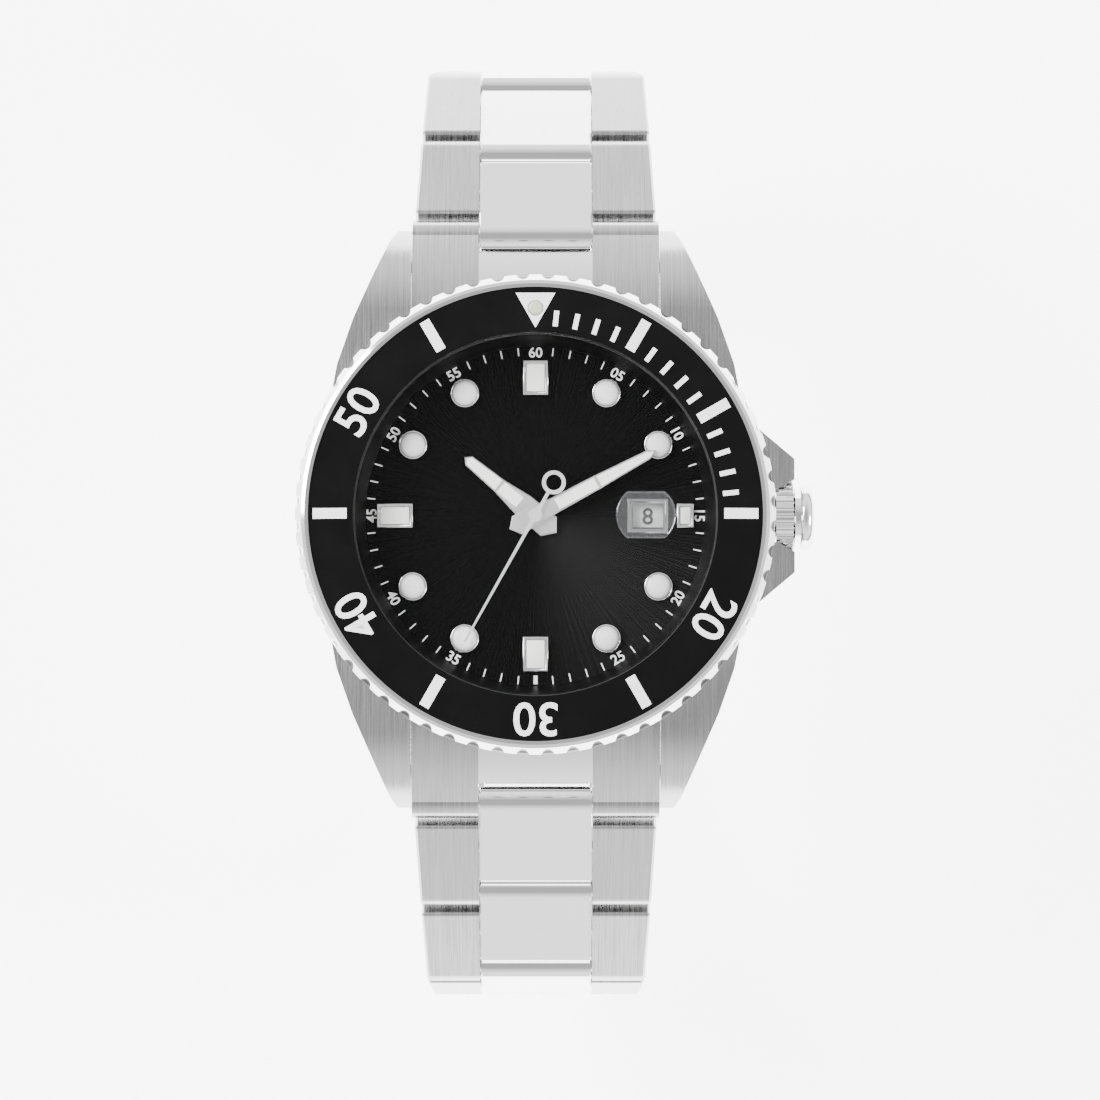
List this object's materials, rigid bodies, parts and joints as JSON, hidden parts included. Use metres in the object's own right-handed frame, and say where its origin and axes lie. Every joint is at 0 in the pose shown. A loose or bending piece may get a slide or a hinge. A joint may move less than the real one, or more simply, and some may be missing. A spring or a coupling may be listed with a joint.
{
  "type": "dive watch",
  "caption": "Round steel dive watch with scalloped turning bezel, black dial with date, screw crown with guards, three-link bracelet and folding clasp.",
  "frame": {"origin": "centre of the case back's flat outer face, which lies on the wrist", "axes": "+Z out of the dial, +Y towards 12 o'clock, +X towards 3 o'clock and the crown; the closed bracelet hangs below the case"},
  "size_m": [0.0457, 0.0862, 0.0536],
  "materials": {
    "brushed_steel": "brushed along the bracelet",
    "polished_steel": "mirror polished",
    "bezel_black": "glossy black with white numerals and bars",
    "lume": "white luminous paint",
    "pearl": "domed luminous pearl",
    "crystal": "clear sapphire",
    "dial_black": "black sunburst",
    "rehaut_black": "satin black",
    "date_white": "matt white with black numerals",
    "movement_brass": "plain turned brass",
    "movement_steel": "fine ground steel",
    "black_rubber": "matt",
    "holder_plastic": "moulded"
  },
  "bodies": {
    "case": {"mid_case": "brushed_steel", "case_back": "brushed_steel", "case_back_gasket": "black_rubber", "bezel_click_spring": "movement_steel", "crystal": "crystal", "crystal_gasket": "black_rubber", "date_magnifier": "crystal", "rehaut_ring": "rehaut_black", "dial": "dial_black", "hour_markers": "polished_steel", "marker_lume": "lume", "date_frame": "polished_steel", "movement_holder": "holder_plastic", "main_plate": "movement_steel", "train_bridge": "movement_steel", "balance_cock": "movement_steel", "rotor_bearing": "movement_steel", "crown_tube": "movement_steel", "end_link_12": "brushed_steel", "end_link_6": "brushed_steel", "spring_bars": "movement_steel"},
    "bezel": {"bezel_ring": "polished_steel", "bezel_insert": "bezel_black", "bezel_pearl": "pearl"},
    "seconds_hand": {"seconds_hand": "polished_steel", "fourth_wheel": "movement_brass"},
    "minute_hand": {"minute_hand": "polished_steel", "minute_hand_lume": "lume"},
    "hour_hand": {"hour_hand": "polished_steel", "hour_hand_lume": "lume"},
    "date_disc": {"date_disc": "date_white"},
    "third_wheel": {"third_wheel": "movement_brass"},
    "escape_wheel": {"escape_wheel": "movement_steel"},
    "barrel": {"mainspring_barrel": "movement_brass"},
    "balance": {"balance_wheel": "movement_brass"},
    "pallet_fork": {"pallet_fork": "movement_steel"},
    "rotor": {"rotor": "movement_steel"},
    "crown_slide": {"crown_gasket": "black_rubber"},
    "crown": {"crown": "polished_steel", "winding_stem": "movement_steel"},
    "row_12_1": {"row_12_1": "brushed_steel"},
    "row_12_2": {"row_12_2": "brushed_steel"},
    "row_12_3": {"row_12_3": "brushed_steel"},
    "row_12_4": {"row_12_4": "brushed_steel"},
    "row_12_5": {"row_12_5": "brushed_steel"},
    "row_12_6": {"row_12_6": "brushed_steel"},
    "clasp_cover": {"clasp_cover": "brushed_steel", "clasp_pin": "polished_steel"},
    "row_6_1": {"row_6_1": "brushed_steel"},
    "row_6_2": {"row_6_2": "brushed_steel"},
    "row_6_3": {"row_6_3": "brushed_steel"},
    "row_6_4": {"row_6_4": "brushed_steel"},
    "row_6_5": {"row_6_5": "brushed_steel"},
    "row_6_6": {"row_6_6": "brushed_steel"},
    "clasp_blade_outer": {"clasp_blade_outer": "polished_steel"},
    "clasp_blade_inner": {"clasp_blade_inner": "polished_steel"},
    "clasp_button_right": {"clasp_button_right": "polished_steel"},
    "clasp_button_left": {"clasp_button_left": "polished_steel"}
  },
  "joints": [
    {"name": "bezel_turn", "type": "hinge", "parent": "case", "child": "bezel", "pos_m": [0, 0, 0.009], "axis": [0, 0, 1], "continuous": true},
    {"name": "seconds_hand_turn", "type": "hinge", "parent": "case", "child": "seconds_hand", "pos_m": [0, 0, 0.0085], "axis": [0, 0, -1], "continuous": true},
    {"name": "minute_hand_turn", "type": "hinge", "parent": "case", "child": "minute_hand", "pos_m": [0, 0, 0.0081], "axis": [0, 0, -1], "continuous": true},
    {"name": "hour_hand_turn", "type": "hinge", "parent": "case", "child": "hour_hand", "pos_m": [0, 0, 0.0077], "axis": [0, 0, -1], "continuous": true},
    {"name": "date_disc_turn", "type": "hinge", "parent": "case", "child": "date_disc", "pos_m": [0, 0, 0.0065], "axis": [0, 0, -1], "continuous": true},
    {"name": "third_wheel_turn", "type": "hinge", "parent": "case", "child": "third_wheel", "pos_m": [0.0052, 0.0036, 0.0035], "axis": [0, 0, -1], "continuous": true},
    {"name": "escape_wheel_turn", "type": "hinge", "parent": "case", "child": "escape_wheel", "pos_m": [0.0066, -0.0016, 0.0035], "axis": [0, 0, -1], "continuous": true},
    {"name": "barrel_turn", "type": "hinge", "parent": "case", "child": "barrel", "pos_m": [-0.0064, 0.0046, 0.0035], "axis": [0, 0, -1], "continuous": true},
    {"name": "balance_swing", "type": "hinge", "parent": "case", "child": "balance", "pos_m": [-0.0016, -0.0076, 0.0035], "axis": [0, 0, 1], "range_deg": [-135, 135]},
    {"name": "pallet_rock", "type": "hinge", "parent": "case", "child": "pallet_fork", "pos_m": [0.0061, -0.00455, 0.0035], "axis": [0, 0, 1], "range_deg": [-6, 6]},
    {"name": "rotor_turn", "type": "hinge", "parent": "case", "child": "rotor", "pos_m": [0, 0, 0.002], "axis": [0, 0, 1], "continuous": true},
    {"name": "crown_pull", "type": "slide", "parent": "case", "child": "crown_slide", "axis": [1, 0, 0], "range_m": [0, 0.0018]},
    {"name": "crown_turn", "type": "hinge", "parent": "crown_slide", "child": "crown", "pos_m": [0.022, 0, 0.0049], "axis": [1, 0, 0], "continuous": true},
    {"name": "row_12_1_fold", "type": "hinge", "parent": "case", "child": "row_12_1", "pos_m": [0, 0.0252, 0.003], "axis": [1, 0, 0], "range_deg": [0, 33]},
    {"name": "row_12_2_fold", "type": "hinge", "parent": "row_12_1", "child": "row_12_2", "pos_m": [0, 0.03308, -0.00212], "axis": [1, 0, 0], "range_deg": [0, 9]},
    {"name": "row_12_3_fold", "type": "hinge", "parent": "row_12_2", "child": "row_12_3", "pos_m": [0, 0.04007, -0.00841], "axis": [1, 0, 0], "range_deg": [0, 38]},
    {"name": "row_12_4_fold", "type": "hinge", "parent": "row_12_3", "child": "row_12_4", "pos_m": [0, 0.0417, -0.01767], "axis": [1, 0, 0], "range_deg": [0, 30]},
    {"name": "row_12_5_fold", "type": "hinge", "parent": "row_12_4", "child": "row_12_5", "pos_m": [0, 0.03849, -0.0265], "axis": [1, 0, 0], "range_deg": [0, 28]},
    {"name": "row_12_6_fold", "type": "hinge", "parent": "row_12_5", "child": "row_12_6", "pos_m": [0, 0.0315, -0.03279], "axis": [1, 0, 0], "range_deg": [0, 22]},
    {"name": "clasp_fold", "type": "hinge", "parent": "row_12_6", "child": "clasp_cover", "pos_m": [0, 0.02267, -0.036], "axis": [1, 0, 0], "range_deg": [0, 2.41]},
    {"name": "row_6_1_fold", "type": "hinge", "parent": "case", "child": "row_6_1", "pos_m": [0, -0.0252, 0.003], "axis": [-1, 0, 0], "range_deg": [0, 33]},
    {"name": "row_6_2_fold", "type": "hinge", "parent": "row_6_1", "child": "row_6_2", "pos_m": [0, -0.03308, -0.00212], "axis": [-1, 0, 0], "range_deg": [0, 9]},
    {"name": "row_6_3_fold", "type": "hinge", "parent": "row_6_2", "child": "row_6_3", "pos_m": [0, -0.04007, -0.00841], "axis": [-1, 0, 0], "range_deg": [0, 38]},
    {"name": "row_6_4_fold", "type": "hinge", "parent": "row_6_3", "child": "row_6_4", "pos_m": [0, -0.0417, -0.01767], "axis": [-1, 0, 0], "range_deg": [0, 30]},
    {"name": "row_6_5_fold", "type": "hinge", "parent": "row_6_4", "child": "row_6_5", "pos_m": [0, -0.03849, -0.0265], "axis": [-1, 0, 0], "range_deg": [0, 28]},
    {"name": "row_6_6_fold", "type": "hinge", "parent": "row_6_5", "child": "row_6_6", "pos_m": [0, -0.0315, -0.03279], "axis": [-1, 0, 0], "range_deg": [0, 22]},
    {"name": "clasp_open", "type": "hinge", "parent": "clasp_cover", "child": "clasp_blade_outer", "pos_m": [0, -0.0195, -0.0373], "axis": [1, 0, 0], "range_deg": [0, 100]},
    {"name": "blade_unfold", "type": "hinge", "parent": "clasp_blade_outer", "child": "clasp_blade_inner", "pos_m": [0, 0.01516, -0.03766], "axis": [-1, 0, 0], "range_deg": [0, 60]},
    {"name": "button_right_press", "type": "slide", "parent": "clasp_cover", "child": "clasp_button_right", "axis": [-1, 0, 0], "range_m": [0, 0.0008], "stiffness_N_per_m": 1500, "springref_m": -0.0006},
    {"name": "button_left_press", "type": "slide", "parent": "clasp_cover", "child": "clasp_button_left", "axis": [1, 0, 0], "range_m": [0, 0.0008], "stiffness_N_per_m": 1500, "springref_m": -0.0006}
  ],
  "couplings": [
    {"joint": "minute_hand_turn", "follows": "seconds_hand_turn", "ratio": 0.016667},
    {"joint": "hour_hand_turn", "follows": "seconds_hand_turn", "ratio": 0.0013889},
    {"joint": "third_wheel_turn", "follows": "seconds_hand_turn", "ratio": -0.125},
    {"joint": "escape_wheel_turn", "follows": "seconds_hand_turn", "ratio": -8},
    {"joint": "barrel_turn", "follows": "seconds_hand_turn", "ratio": -0.0020833}
  ]
}
